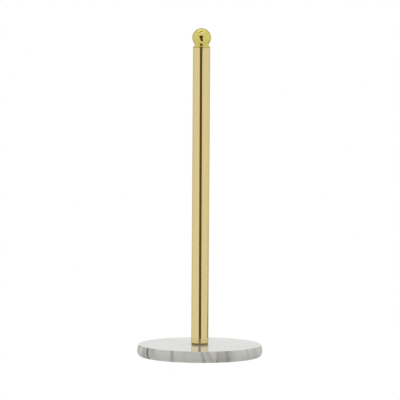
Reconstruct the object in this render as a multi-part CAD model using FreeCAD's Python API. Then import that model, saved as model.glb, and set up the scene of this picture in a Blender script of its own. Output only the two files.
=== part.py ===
# Paper towel holder: a round marble base, a plated tube on it, and a ball finial that screws off.
# A button-head bolt comes up through the marble and draws the tube down onto a thin rubber gasket.
# The finial turns on an M6 stud in a plug at the tube's top, and rises one thread pitch for each turn.
# Frame: +Z up, the origin on the surface that the four feet stand on, below the centre of the base.

import FreeCAD, Part
import math
import os

# ---- Driving dimensions, in millimetres ----

base_radius = 69.0  # where the rounded rim is widest
base_thickness = 12.4
rim_top_radius = 67.5  # where the rim meets the flat top
rim_under_radius = 66.5  # where it meets the underside
rim_widest_height = 5.4  # above the underside
rim_arris_radius = 0.6  # takes the sharpness off both of those edges
base_hole_radius = 6.2  # locates the spigot of the post
recess_radius = 12.0  # hides the bolt head in the underside
recess_depth = 7.0

foot_radius = 5.0
foot_height = 1.5
foot_count = 4
foot_circle_radius = 52.0
foot_edge_radius = 0.35

gasket_radius = 9.2
gasket_hole_radius = 6.1
gasket_thickness = 1.8

tube_radius = 19.05 / 2
tube_wall = 1.0
tube_length = 324.2
tube_edge_break = 0.15  # chamfer on the outer edge of each end

plug_clearance = 0.025  # between each plug and the tube that it is fixed in
foot_plug_length = 16.0
foot_spigot_radius = 5.9
foot_spigot_drop = 4.0  # how far the spigot goes down into the marble
cap_plug_length = 12.0
cap_plug_gap = 0.5  # between the cap plug and the finial's spigot
plug_edge_break = 0.4

thread_radius = 3.0  # M6, over the crests
thread_pitch = 1.0
thread_depth = 0.6
thread_clearance = 0.05  # between a crest and the hole that it turns in
thread_lead_in = 0.5  # chamfer where each thread starts
crest_share = 0.2  # of each pitch, how much is flat crest

bolt_length = 20.0
bolt_head_radius = 5.25
bolt_head_height = 3.3
bolt_head_crown_radius = 2.6  # the flat on top of the domed head
bolt_dome_bulge = 0.5  # how far the dome stands out from a straight cone
bolt_head_rim = 0.4  # upright band below the dome
bolt_socket_across_flats = 4.0
bolt_socket_depth = 2.0

flat_washer_radius = 9.0
flat_washer_hole_radius = 3.2
flat_washer_thickness = 1.2
lock_washer_radius = 5.9
lock_washer_hole_radius = 3.1
lock_washer_thickness = 1.6
lock_washer_split = 0.9
lock_washer_split_angle = 18.0  # degrees off the axis

stud_length = 25.0
stud_in_finial = 14.6
stud_socket_across_flats = 3.0
stud_socket_depth = 3.0

captive_washer_radius = 9.3
captive_washer_hole_radius = 8.0
captive_washer_thickness = 0.4

spigot_radius = 8.2
spigot_length = 4.0
groove_radius = 7.9
groove_play = 0.1  # axial play of the captive washer in its groove
flange_radius = 9.5
flange_height = 1.5
flange_bead_radius = 0.8  # rounds the flange's upper edge
neck_radius = 7.9
neck_cove_radius = 0.5  # between the flange and the neck
ball_radius = 10.4
ball_centre_height = 10.8  # above the flange's lower face
finial_hole_spare = 0.6  # empty depth above the stud
drill_point_angle = 118.0  # degrees

cut_overrun = 1.0  # how far a key socket's cutter starts outside the piece

# ---- Heights worked out from them ----

base_bottom = foot_height
base_top = base_bottom + base_thickness
recess_top = base_bottom + recess_depth
tube_bottom = base_top + gasket_thickness
tube_top = tube_bottom + tube_length
tube_inner_radius = tube_radius - tube_wall
plug_radius = tube_inner_radius - plug_clearance
tapped_radius = thread_radius + thread_clearance
foot_spigot_bottom = base_top - foot_spigot_drop
flat_washer_bottom = recess_top - flat_washer_thickness
lock_washer_bottom = flat_washer_bottom - lock_washer_thickness
flange_bottom = tube_top + captive_washer_thickness
spigot_bottom = flange_bottom - spigot_length
cap_plug_top = spigot_bottom - cap_plug_gap
cap_plug_bottom = cap_plug_top - cap_plug_length
stud_top = spigot_bottom + stud_in_finial
stud_bottom = stud_top - stud_length
ball_centre = flange_bottom + ball_centre_height


def upright(radius, low, high):
    """A solid cylinder on the Z axis between two heights."""
    return Part.makeCylinder(radius, high - low, FreeCAD.Vector(0, 0, low))


def ring(outer_radius, inner_radius, low, high):
    """A flat ring on the Z axis between two heights."""
    return upright(outer_radius, low, high).cut(upright(inner_radius, low, high))


def at(radius, height):
    """A point of a turned profile, in the XZ plane."""
    return FreeCAD.Vector(radius, 0, height)


def arc_point(centre, radius, degrees):
    """The point of a profile arc at this angle, counted from outwards towards up."""
    angle = math.radians(degrees)
    return at(centre[0] + radius * math.cos(angle), centre[1] + radius * math.sin(angle))


def line(start, end):
    """A straight edge of a profile."""
    return Part.LineSegment(start, end).toShape()


def arc(centre, radius, start_degrees, end_degrees):
    """A round edge of a profile, between two angles."""
    middle_degrees = (start_degrees + end_degrees) / 2
    angles = (start_degrees, middle_degrees, end_degrees)
    return Part.Arc(*[arc_point(centre, radius, angle) for angle in angles]).toShape()


def turned(edges):
    """The solid of revolution of a closed profile about the Z axis."""
    face = Part.Face(Part.Wire(edges))
    return face.revolve(FreeCAD.Vector(0, 0, 0), FreeCAD.Vector(0, 0, 1), 360)


def turned_polygon(points):
    """The solid of revolution of a profile with straight edges only."""
    corners = [at(*point) for point in points]
    return turned([line(a, b) for a, b in zip(corners, corners[1:] + corners[:1])])


def hexagon(across_flats, low, high):
    """A hexagonal prism on the Z axis, for a key socket."""
    corner_radius = across_flats / 2 / math.cos(math.pi / 6)
    angles = [side * math.pi / 3 for side in range(7)]
    corners = [FreeCAD.Vector(corner_radius * math.cos(a), corner_radius * math.sin(a), low) for a in angles]
    return Part.Face(Part.makePolygon(corners)).extrude(FreeCAD.Vector(0, 0, high - low))


def threaded_rod(low, high, chamfer_low, chamfer_high):
    """A rod on the Z axis with M6 ring grooves, chamfered at the ends that say so."""
    tip = thread_radius - thread_lead_in
    root = thread_radius - thread_depth
    half_crest = thread_pitch * crest_share / 2
    corners = [(0, low), (tip if chamfer_low else root, low)]
    for turn in range(1, round((high - low) / thread_pitch)):
        crest = low + turn * thread_pitch
        corners.append((root, crest - thread_pitch / 2))
        corners.append((thread_radius, crest - half_crest))
        corners.append((thread_radius, crest + half_crest))
    corners += [(root, high - thread_pitch / 2), (tip if chamfer_high else root, high), (0, high)]
    return turned_polygon(corners)


def rim_arc(edge_radius, edge_height):
    """Half of the rim's bulge, from the widest point to this radius and height."""
    widest = (base_radius, base_bottom + rim_widest_height)
    rise = edge_height - widest[1]
    inset = widest[0] - edge_radius
    round_radius = (rise * rise + inset * inset) / (2 * inset)
    end_degrees = math.degrees(math.asin(rise / round_radius))
    return arc((widest[0] - round_radius, widest[1]), round_radius, 0, end_degrees)


def marble_base():
    """The stone disc with its rounded rim, a hole for the post's spigot and a recess for the bolt."""
    disc = turned([
        line(at(0, base_bottom), at(rim_under_radius, base_bottom)),
        rim_arc(rim_under_radius, base_bottom),
        rim_arc(rim_top_radius, base_top),
        line(at(rim_top_radius, base_top), at(0, base_top)),
        line(at(0, base_top), at(0, base_bottom)),
    ])
    arrises = [
        edge for edge in disc.Edges
        if isinstance(edge.Curve, Part.Circle) and edge.Curve.Radius < base_radius - rim_arris_radius
    ]
    eased = disc.makeFillet(rim_arris_radius, arrises)
    hole = upright(base_hole_radius, base_bottom, base_top)
    recess = upright(recess_radius, base_bottom, recess_top)
    return eased.cut(hole).cut(recess)


def foot(number):
    """One bumper foot, on the circle of feet."""
    angle = (number + 0.5) * 2 * math.pi / foot_count
    rounded = (foot_radius - foot_edge_radius, foot_edge_radius)
    pad = turned([
        line(at(0, 0), at(rounded[0], 0)),
        arc(rounded, foot_edge_radius, -90, 0),
        line(at(foot_radius, foot_edge_radius), at(foot_radius, foot_height)),
        line(at(foot_radius, foot_height), at(0, foot_height)),
        line(at(0, foot_height), at(0, 0)),
    ])
    across = foot_circle_radius * math.cos(angle)
    along = foot_circle_radius * math.sin(angle)
    pad.translate(FreeCAD.Vector(across, along, 0))
    return pad


def post_gasket():
    """The thin rubber ring that keeps the tube's end off the marble."""
    return ring(gasket_radius, gasket_hole_radius, base_top, tube_bottom)


def post_tube():
    """The post, with the sharp edge taken off each end."""
    edge_radius = tube_radius - tube_edge_break
    return turned_polygon([
        (tube_inner_radius, tube_bottom),
        (edge_radius, tube_bottom),
        (tube_radius, tube_bottom + tube_edge_break),
        (tube_radius, tube_top - tube_edge_break),
        (edge_radius, tube_top),
        (tube_inner_radius, tube_top),
    ])


def foot_plug():
    """The tapped plug in the tube's foot, with the spigot that centres the post on the marble."""
    top = tube_bottom + foot_plug_length
    return turned_polygon([
        (tapped_radius, foot_spigot_bottom),
        (foot_spigot_radius - plug_edge_break, foot_spigot_bottom),
        (foot_spigot_radius, foot_spigot_bottom + plug_edge_break),
        (foot_spigot_radius, tube_bottom),
        (plug_radius, tube_bottom),
        (plug_radius, top - plug_edge_break),
        (plug_radius - plug_edge_break, top),
        (tapped_radius, top),
    ])


def cap_plug():
    """The tapped plug in the tube's top, which the finial's stud screws into."""
    return turned_polygon([
        (tapped_radius + plug_edge_break, cap_plug_top),
        (tapped_radius, cap_plug_top - plug_edge_break),
        (tapped_radius, cap_plug_bottom),
        (plug_radius - plug_edge_break, cap_plug_bottom),
        (plug_radius, cap_plug_bottom + plug_edge_break),
        (plug_radius, cap_plug_top),
    ])


def base_bolt():
    """The button-head bolt that holds the post down, with its key socket facing the floor."""
    head_bottom = lock_washer_bottom - bolt_head_height
    crown = at(bolt_head_crown_radius, head_bottom)
    rim = at(bolt_head_radius, lock_washer_bottom - bolt_head_rim)
    slope = rim - crown
    outwards = at(slope.z, -slope.x).normalize()
    shoulder = (crown + rim) / 2 + outwards * bolt_dome_bulge
    head = turned([
        line(at(0, head_bottom), crown),
        Part.Arc(crown, shoulder, rim).toShape(),
        line(rim, at(bolt_head_radius, lock_washer_bottom)),
        line(at(bolt_head_radius, lock_washer_bottom), at(0, lock_washer_bottom)),
        line(at(0, lock_washer_bottom), at(0, head_bottom)),
    ])
    socket = hexagon(bolt_socket_across_flats, head_bottom - cut_overrun, head_bottom + bolt_socket_depth)
    shank = threaded_rod(lock_washer_bottom, lock_washer_bottom + bolt_length, False, True)
    return head.cut(socket).fuse(shank)


def flat_washer():
    """The wide washer that spreads the bolt's pull over the marble."""
    return ring(flat_washer_radius, flat_washer_hole_radius, flat_washer_bottom, recess_top)


def lock_washer():
    """The split spring washer under the bolt head, drawn flat."""
    body = ring(lock_washer_radius, lock_washer_hole_radius, lock_washer_bottom, flat_washer_bottom)
    reach = 2 * lock_washer_thickness
    blade = Part.makeBox(lock_washer_radius, lock_washer_split, 2 * reach)
    blade.translate(FreeCAD.Vector(lock_washer_hole_radius / 2, -lock_washer_split / 2, -reach))
    blade.rotate(FreeCAD.Vector(0, 0, 0), FreeCAD.Vector(1, 0, 0), lock_washer_split_angle)
    blade.translate(FreeCAD.Vector(0, 0, lock_washer_bottom + lock_washer_thickness / 2))
    return body.cut(blade)


def captive_washer():
    """The clear washer that snaps into the finial's groove and saves the tube's rim from scratches."""
    return ring(captive_washer_radius, captive_washer_hole_radius, tube_top, flange_bottom)


def finial_stud():
    """The threaded stud that is locked in the finial and turns in the cap plug."""
    rod = threaded_rod(stud_bottom, stud_top, True, True)
    socket = hexagon(stud_socket_across_flats, stud_bottom - cut_overrun, stud_bottom + stud_socket_depth)
    return rod.cut(socket)


def ball_finial():
    """The one-piece ball, neck and flange, with its spigot, washer groove and tapped blind hole."""
    groove_bottom = flange_bottom - captive_washer_thickness - groove_play
    flange_top = flange_bottom + flange_height
    bead = (flange_radius - flange_bead_radius, flange_top - flange_bead_radius)
    cove = (neck_radius + neck_cove_radius, flange_top + neck_cove_radius)
    meeting_degrees = -math.degrees(math.acos(neck_radius / ball_radius))
    meeting = arc_point((0, ball_centre), ball_radius, meeting_degrees)
    outline = turned([
        line(at(0, spigot_bottom), at(spigot_radius, spigot_bottom)),
        line(at(spigot_radius, spigot_bottom), at(spigot_radius, groove_bottom)),
        line(at(spigot_radius, groove_bottom), at(groove_radius, groove_bottom)),
        line(at(groove_radius, groove_bottom), at(groove_radius, flange_bottom)),
        line(at(groove_radius, flange_bottom), at(flange_radius, flange_bottom)),
        line(at(flange_radius, flange_bottom), arc_point(bead, flange_bead_radius, 0)),
        arc(bead, flange_bead_radius, 0, 90),
        line(arc_point(bead, flange_bead_radius, 90), arc_point(cove, neck_cove_radius, 270)),
        arc(cove, neck_cove_radius, 270, 180),
        line(arc_point(cove, neck_cove_radius, 180), meeting),
        arc((0, ball_centre), ball_radius, meeting_degrees, 90),
        line(at(0, ball_centre + ball_radius), at(0, spigot_bottom)),
    ])
    hole_end = stud_top + finial_hole_spare
    point_height = tapped_radius / math.tan(math.radians(drill_point_angle / 2))
    hole = turned_polygon([
        (0, spigot_bottom),
        (tapped_radius, spigot_bottom),
        (tapped_radius, hole_end),
        (0, hole_end + point_height),
    ])
    return outline.cut(hole)


sub_parts = {
    "marble_base": marble_base(),
    "post_gasket": post_gasket(),
    "post_tube": post_tube(),
    "foot_plug": foot_plug(),
    "cap_plug": cap_plug(),
    "base_bolt": base_bolt(),
    "flat_washer": flat_washer(),
    "lock_washer": lock_washer(),
    "captive_washer": captive_washer(),
    "finial_stud": finial_stud(),
    "ball_finial": ball_finial(),
}
for number in range(foot_count):
    sub_parts[f"foot_{number + 1}"] = foot(number)

os.makedirs("parts", exist_ok=True)
for name, shape in sub_parts.items():
    shape.exportStep(f"parts/{name}.step")
    print(f"{name}: {len(shape.Solids)} solid, valid {shape.isValid()}, {shape.Volume:.1f} mm3")
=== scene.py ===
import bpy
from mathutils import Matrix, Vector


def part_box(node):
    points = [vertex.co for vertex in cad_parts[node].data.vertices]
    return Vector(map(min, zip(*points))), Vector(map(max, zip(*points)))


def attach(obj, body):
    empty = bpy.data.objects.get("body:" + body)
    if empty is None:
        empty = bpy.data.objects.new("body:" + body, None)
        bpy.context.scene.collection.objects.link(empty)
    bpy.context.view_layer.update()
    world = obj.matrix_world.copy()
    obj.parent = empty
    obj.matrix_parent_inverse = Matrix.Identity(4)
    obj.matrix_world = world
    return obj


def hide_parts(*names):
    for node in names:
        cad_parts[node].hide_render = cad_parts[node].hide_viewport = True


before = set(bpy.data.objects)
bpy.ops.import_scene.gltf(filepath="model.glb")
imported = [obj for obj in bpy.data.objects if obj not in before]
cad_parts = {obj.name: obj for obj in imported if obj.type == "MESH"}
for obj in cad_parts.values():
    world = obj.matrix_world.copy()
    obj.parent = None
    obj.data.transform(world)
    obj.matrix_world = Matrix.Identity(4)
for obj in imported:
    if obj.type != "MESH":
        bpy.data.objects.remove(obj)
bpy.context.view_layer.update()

import logging
import math
from dataclasses import dataclass
from enum import Enum

import bpy
import bmesh
from bpy.types import ID, Material, Mesh, Node, NodeTree, Object
from bpy.types import NodeSocket as Socket
from mathutils import Matrix

log = logging.getLogger("paper_towel_holder")

Colour = tuple[float, float, float, float]
Point = tuple[float, float, float]
Span = tuple[float, float]

MM = 0.001  # metres in a millimetre
WELD = 1e-7  # metres; vertices nearer than this are one
SHARP_ANGLE = math.radians(28)  # edges that turn more than this stay crisp

OUT = 0.0  # degrees; directions of an arc in an outline, from outwards towards up
UP = 90.0
IN = 180.0
DOWN = -90.0
SAME_POINT = 1e-4  # millimetres; an arc leaves out a point that is nearer than this to the last one
SHORT_RUN = 3  # a run shorter than this many supports gets none
EDGE_STEP = 15.0  # degrees between two rings on a small rounded edge
RING_STEP = 18.0  # the same, on a gasket or washer

KEY_FLATS = 6.0  # sides of a key socket
HALF_ROW = 0.5  # a test on a row's number falls half-way between two rows
SOCKET_ROWS = 3.0  # a key socket's middle, its bottom corner and its mouth
CLOSING_ROWS = 2.0  # a rod's last ring, and the point that closes it
WHOLE_TURNS = 100.0  # added to a thread's phase, to keep it positive
HALF_TURN = 0.5  # a thread's profile is the same on both sides of its crest
FLANK_STEEPNESS = 2.7  # how fast a thread's flank falls, in depths for each pitch
FLANK_START = -0.17  # the flat crest, in depths

WHITE = (1.0, 1.0, 1.0, 1.0)
NOISE_MIDDLE = 0.5  # of a noise field's range
ROUGH_SPAN = (0.3, 0.7)  # the part of a noise field's range that moves the roughness


class Facets(Enum):
    """How many faces go round a turned piece."""

    DISC = 288
    TUBE = 192
    BALL = 160
    RING = 128
    FITTING = 96
    FOOT = 64


# ---------------------------------------------------------------- profiles


class Profile:
    """The outline of a turned piece, as points of radius and height in millimetres.

    It runs anticlockwise in the plane of radius and height, so that the faces turned from it point outwards.
    """

    def __init__(self, radius: float, height: float, keyed: float = 0.0) -> None:
        """Starts the outline at one point, on a ring with six flats where keyed is 1."""
        self.points: list[Point] = [(radius, height, keyed)]

    def to(self, radius: float, height: float, keyed: float = 0.0, support: float = 0.0) -> "Profile":
        """Adds a straight run to a new point.

        Args:
            radius: distance of the new point from the axis.
            height: its height above the origin.
            keyed: 1 for a ring with six flats, 0 for a round one.
            support: where above 0, extra rings stand this far from both ends and keep the run's shading flat.

        Returns:
            The profile itself, so that calls can be chained.
        """
        last_radius, last_height, _ = self.points[-1]
        across, rise = radius - last_radius, height - last_height
        run = math.hypot(across, rise)
        if support and run > SHORT_RUN * support:
            for share in (support / run, 1 - support / run):
                self.points.append((last_radius + share * across, last_height + share * rise, keyed))
        self.points.append((radius, height, keyed))
        return self

    def arc(self, centre: Span, radius: float, start: float, end: float, step: float) -> "Profile":
        """Adds a round run.

        Args:
            centre: the arc's centre, as radius and height.
            radius: the arc's own radius.
            start: first angle in degrees, from outwards towards up.
            end: last angle in degrees.
            step: the largest turn between two points, in degrees.

        Returns:
            The profile itself, so that calls can be chained.
        """
        count = max(2, math.ceil(abs(end - start) / step))
        for k in range(count + 1):
            angle = math.radians(start + (end - start) * k / count)
            point = (centre[0] + radius * math.cos(angle), centre[1] + radius * math.sin(angle), 0.0)
            if math.dist(point[:2], self.points[-1][:2]) > SAME_POINT:
                self.points.append(point)
        return self

    def lower_edge(self, radius: float, low: float, rounding: float, step: float) -> "Profile":
        """Adds a piece's rounded outer edge, from its underside to its side, and returns the profile."""
        return self.arc((radius - rounding, low + rounding), rounding, DOWN, OUT, step)

    def upper_edge(self, radius: float, high: float, rounding: float, step: float) -> "Profile":
        """Adds a piece's rounded outer edge, from its side to its top, and returns the profile."""
        return self.arc((radius - rounding, high - rounding), rounding, OUT, UP, step)

    def mesh(self, name: str) -> Mesh:
        """Makes the outline a line mesh in metres, with its ring kind as an attribute.

        Args:
            name: name of the mesh.

        Returns:
            The mesh, with one vertex for each point.
        """
        mesh = bpy.data.meshes.new(name)
        vertices = [(radius * MM, 0.0, height * MM) for radius, height, _ in self.points]
        mesh.from_pydata(vertices, [(k, k + 1) for k in range(len(vertices) - 1)], [])
        keyed = mesh.attributes.new("keyed", "FLOAT", "POINT")
        keyed.data.foreach_set("value", [point[2] for point in self.points])
        return mesh


# ---------------------------------------------------------------- nodes


class NodeKit:
    """A node tree under construction, with short calls for the nodes that it is made of."""

    def __init__(self, tree: NodeTree) -> None:
        """Takes up a tree."""
        self.tree = tree

    def node(self, kind: str, inputs: dict[str | int, object] | None = None, **settings: object) -> Node:
        """Adds a node.

        Args:
            kind: Blender's name for its type.
            inputs: what goes into its sockets, by their names or places, each another socket or a constant.
            settings: its properties.

        Returns:
            The node.
        """
        made = self.tree.nodes.new(kind)
        for key, value in settings.items():
            setattr(made, key, value)
        for key, value in (inputs or {}).items():
            self.plug(made.inputs[key], value)
        return made

    def plug(self, socket: Socket, value: object) -> None:
        """Links a socket to another, or gives it a constant.

        Args:
            socket: the socket that takes the value.
            value: the other socket or the constant.
        """
        if isinstance(value, Socket):
            self.tree.links.new(value, socket)
        else:
            socket.default_value = value

    def math(self, operation: str, *values: object, clamp: bool = False) -> Socket:
        """Returns the result of a sum on sockets or numbers, held between 0 and 1 where clamp is True."""
        inputs = dict(enumerate(values))
        return self.node("ShaderNodeMath", inputs, operation=operation, use_clamp=clamp).outputs[0]

    def split(self, vector: Socket) -> tuple[Socket, ...]:
        """Returns the X, Y and Z of a vector."""
        return tuple(self.node("ShaderNodeSeparateXYZ", {0: vector}).outputs)

    def between(self, value: Socket, span: Span, result: Span = (0.0, 1.0)) -> Socket:
        """Maps a value from one range to another by an S-shaped ramp, held at both ends.

        Args:
            value: what is mapped.
            span: where the ramp starts and ends.
            result: what it gives there.

        Returns:
            The mapped value.
        """
        inputs = dict(enumerate((value, *span, *result)))
        return self.node("ShaderNodeMapRange", inputs, interpolation_type="SMOOTHSTEP").outputs[0]


class PieceTree(NodeKit):
    """A Geometry Nodes tree under construction, which shapes one kind of piece."""

    def __init__(self, name: str) -> None:
        """Makes an empty tree.

        Args:
            name: name of the node group.
        """
        super().__init__(bpy.data.node_groups.new(name, "GeometryNodeTree"))
        for way in ("INPUT", "OUTPUT"):
            self.tree.interface.new_socket("Geometry", in_out=way, socket_type="NodeSocketGeometry")
        self.entry = self.node("NodeGroupInput")

    def size(self, name: str, default: float | int) -> Socket:
        """Adds a named input, for whole numbers where its default is one.

        Args:
            name: name of the input.
            default: what it holds unless a piece says otherwise.

        Returns:
            Its socket inside the tree.
        """
        kind = "NodeSocketInt" if isinstance(default, int) else "NodeSocketFloat"
        item = self.tree.interface.new_socket(name, in_out="INPUT", socket_type=kind)
        item.default_value = default
        return self.entry.outputs[name]

    def sample(self, kind: str, source: Socket, value: Socket, index: Socket) -> Socket:
        """Returns the value that a source's point with this index holds."""
        inputs = {"Geometry": source, "Value": value, "Index": index}
        return self.node("GeometryNodeSampleIndex", inputs, data_type=kind).outputs[0]

    def place(self, radius: Socket, angle: Socket, height: Socket) -> Socket:
        """Returns the position at this radius, angle and height about the Z axis."""
        x, y = (self.math("MULTIPLY", radius, self.math(share, angle)) for share in ("COSINE", "SINE"))
        return self.node("ShaderNodeCombineXYZ", {"X": x, "Y": y, "Z": height}).outputs[0]

    def sheet(self, segments: Socket, rows: Socket) -> tuple[Socket, Socket, Socket]:
        """Adds a grid of vertices, whose first and last columns meet.

        Args:
            segments: how many faces it has round the piece.
            rows: how many vertices it has along the piece.

        Returns:
            The grid's mesh, and for each vertex its angle about the axis and its row.
        """
        inputs = {"Vertices X": self.math("ADD", segments, 1), "Vertices Y": rows}
        index = self.node("GeometryNodeInputIndex").outputs[0]
        column = self.math("FLOOR", self.math("DIVIDE", self.math("ADD", index, HALF_ROW), rows))
        row = self.math("SUBTRACT", index, self.math("MULTIPLY", column, rows))
        angle = self.math("MULTIPLY", self.math("DIVIDE", column, segments), math.tau)
        return self.node("GeometryNodeMeshGrid", inputs).outputs["Mesh"], angle, row

    def flatted(self, radius: Socket, angle: Socket, flats: object, share: object) -> Socket:
        """Turns a round ring into one with flat sides.

        Args:
            radius: distance from the axis to the middle of a flat.
            angle: angle of the vertex about the axis.
            flats: how many flats the ring has.
            share: 1 for flats, 0 for a round ring.

        Returns:
            The radius at this angle.
        """
        flat = self.math("DIVIDE", math.tau, flats)
        half = self.math("DIVIDE", flat, 2.0)
        turn = self.math("FLOORED_MODULO", self.math("ADD", angle, half), flat)
        off_middle = self.math("SUBTRACT", turn, half)
        stretch = self.math("SUBTRACT", self.math("DIVIDE", 1.0, self.math("COSINE", off_middle)), 1.0)
        return self.math("MULTIPLY", radius, self.math("MULTIPLY_ADD", stretch, share, 1.0))

    def close(self, mesh: Socket, position: Socket) -> NodeTree:
        """Moves the vertices into place, welds the seam and poles, and ends the tree.

        Args:
            mesh: the mesh to shape.
            position: where each of its vertices goes.

        Returns:
            The finished node group.
        """
        self.tree.interface.new_socket("Finish", in_out="INPUT", socket_type="NodeSocketMaterial")
        finish = self.entry.outputs["Finish"]
        moved = self.node("GeometryNodeSetPosition", {"Geometry": mesh, "Position": position})
        welded = self.node("GeometryNodeMergeByDistance", {"Geometry": moved.outputs[0], "Distance": WELD})
        realised = self.node("GeometryNodeRealizeInstances", {"Geometry": welded.outputs[0]})
        finished = self.node("GeometryNodeSetMaterial", {"Geometry": realised.outputs[0], "Material": finish})
        self.node("NodeGroupOutput", {0: finished.outputs[0]})
        return self.tree


def turning_tree() -> NodeTree:
    """Builds the tree that turns an outline about the Z axis, with six flats on the rings that ask for them.

    Returns:
        The tree.
    """
    tree = PieceTree("turned_piece")
    segments = tree.size("Segments", Facets.FITTING.value)
    flats = tree.size("Flats", KEY_FLATS)
    outline = tree.entry.outputs["Geometry"]
    count = tree.node("GeometryNodeAttributeDomainSize", {"Geometry": outline}, component="MESH")
    mesh, angle, row = tree.sheet(segments, count.outputs["Point Count"])

    position = tree.node("GeometryNodeInputPosition").outputs[0]
    radius, _, height = tree.split(tree.sample("FLOAT_VECTOR", outline, position, row))
    attribute = tree.node("GeometryNodeInputNamedAttribute", {"Name": "keyed"}, data_type="FLOAT")
    keyed = tree.sample("FLOAT", outline, attribute.outputs[0], row)
    return tree.close(mesh, tree.place(tree.flatted(radius, angle, flats, keyed), angle, height))


def thread_tree() -> NodeTree:
    """Builds the tree that makes a rod with a right-hand V thread, chamfers and a key socket where asked.

    Returns:
        The tree.
    """
    tree = PieceTree("threaded_rod")
    segments = tree.size("Segments", 48)
    per_turn = tree.size("Rows per turn", 12.0)
    low = tree.size("Low", 0.0)
    high = tree.size("High", 0.02)
    crest = tree.size("Crest radius", 0.003)
    depth = tree.size("Thread depth", 0.0006)
    pitch = tree.size("Pitch", 0.001)
    lead_low = tree.size("Lead low", 0.0)
    lead_high = tree.size("Lead high", 0.0)
    socket = tree.size("Socket radius", 0.0)
    socket_depth = tree.size("Socket depth", 0.0)

    length = tree.math("SUBTRACT", high, low)
    body_rows = tree.math("ROUND", tree.math("MULTIPLY", tree.math("DIVIDE", length, pitch), per_turn))
    rows = tree.math("ADD", body_rows, SOCKET_ROWS + CLOSING_ROWS)
    mesh, angle, row = tree.sheet(segments, rows)
    share = tree.math("DIVIDE", tree.math("SUBTRACT", row, SOCKET_ROWS), body_rows, clamp=True)
    height = tree.math("MULTIPLY_ADD", share, length, low)

    phase = tree.math("SUBTRACT", tree.math("DIVIDE", height, pitch), tree.math("DIVIDE", angle, math.tau))
    wave = tree.math("PINGPONG", tree.math("ADD", phase, WHOLE_TURNS), HALF_TURN)
    cut = tree.math("MULTIPLY_ADD", wave, FLANK_STEEPNESS, FLANK_START, clamp=True)
    radius = tree.math("SUBTRACT", crest, tree.math("MULTIPLY", cut, depth))
    above, below = tree.math("SUBTRACT", height, low), tree.math("SUBTRACT", high, height)
    for lead, from_end in ((lead_low, above), (lead_high, below)):
        limit = tree.math("ADD", tree.math("SUBTRACT", crest, lead), from_end)
        radius = tree.math("MINIMUM", radius, limit)

    keyed = tree.flatted(socket, angle, KEY_FLATS, 1.0)
    in_socket = tree.math("LESS_THAN", row, SOCKET_ROWS - HALF_ROW)
    radius = tree.math("ADD", radius, tree.math("MULTIPLY", in_socket, tree.math("SUBTRACT", keyed, radius)))
    at_bottom = tree.math("LESS_THAN", row, SOCKET_ROWS - 1 - HALF_ROW)
    height = tree.math("ADD", height, tree.math("MULTIPLY", at_bottom, socket_depth))
    after_first = tree.math("GREATER_THAN", row, HALF_ROW)
    before_last = tree.math("LESS_THAN", row, tree.math("SUBTRACT", rows, 1 + HALF_ROW))
    radius = tree.math("MULTIPLY", radius, tree.math("MULTIPLY", after_first, before_last))
    return tree.close(mesh, tree.place(radius, angle, height))


class Maker(Enum):
    """The Geometry Nodes trees that the pieces are made with."""

    TURNED = "turned_piece"
    THREADED = "threaded_rod"


TREES = {Maker.TURNED: turning_tree(), Maker.THREADED: thread_tree()}


def placed(name: str, data: ID) -> Object:
    """Adds an object to the scene.

    Args:
        name: name of the object.
        data: its mesh or camera.

    Returns:
        The object, at the origin.
    """
    made = bpy.data.objects.new(name, data)
    bpy.context.scene.collection.objects.link(made)
    return made


def coat(mesh: Mesh, finish: Material) -> None:
    """Gives a mesh its only finish, and smooth shading with crisp edges.

    Args:
        mesh: the mesh to coat in place.
        finish: the material.
    """
    mesh.materials.clear()
    mesh.materials.append(finish)
    mesh.shade_smooth()
    mesh.set_sharp_from_angle(angle=SHARP_ANGLE)
    mesh.update()


def tidy_mesh(mesh: Mesh, finish: Material) -> None:
    """Drops faces with no area, points the normals outwards and coats the mesh.

    Args:
        mesh: the mesh to tidy in place.
        finish: its only material.
    """
    work = bmesh.new()
    work.from_mesh(mesh)
    bmesh.ops.remove_doubles(work, verts=work.verts, dist=WELD)
    bmesh.ops.dissolve_degenerate(work, dist=WELD, edges=work.edges)
    bmesh.ops.recalc_face_normals(work, faces=work.faces)
    work.to_mesh(mesh)
    work.free()
    coat(mesh, finish)


def grown(
    name: str, source: Mesh, maker: Maker, finish: Material, **sizes: float
) -> Object:
    """Runs a mesh through a tree and keeps the result as a plain mesh.

    Args:
        name: name of the piece.
        source: the mesh that the tree starts from.
        maker: which tree.
        finish: the material that it sets.
        sizes: values for the tree's inputs, by their names with underscores for spaces.

    Returns:
        An object at the origin with the finished mesh and no modifier.
    """
    piece = placed(name, source)
    modifier = piece.modifiers.new("maker", "NODES")
    modifier.node_group = TREES[maker]
    wanted = {key.replace("_", " "): value for key, value in sizes.items()}
    wanted["finish"] = finish
    for item in modifier.node_group.interface.items_tree:
        if item.in_out == "INPUT" and item.name.lower() in wanted:
            modifier[item.identifier] = wanted[item.name.lower()]
    evaluated = piece.evaluated_get(bpy.context.evaluated_depsgraph_get())
    mesh = bpy.data.meshes.new_from_object(evaluated)
    mesh.name = name
    piece.modifiers.remove(modifier)
    piece.data = mesh
    bpy.data.meshes.remove(source)
    tidy_mesh(mesh, finish)
    return piece


def turned(name: str, profile: Profile, finish: Material, facets: Facets) -> Object:
    """Turns a profile about the Z axis and returns the piece."""
    return grown(name, profile.mesh(name + "_outline"), Maker.TURNED, finish, segments=facets.value)


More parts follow.
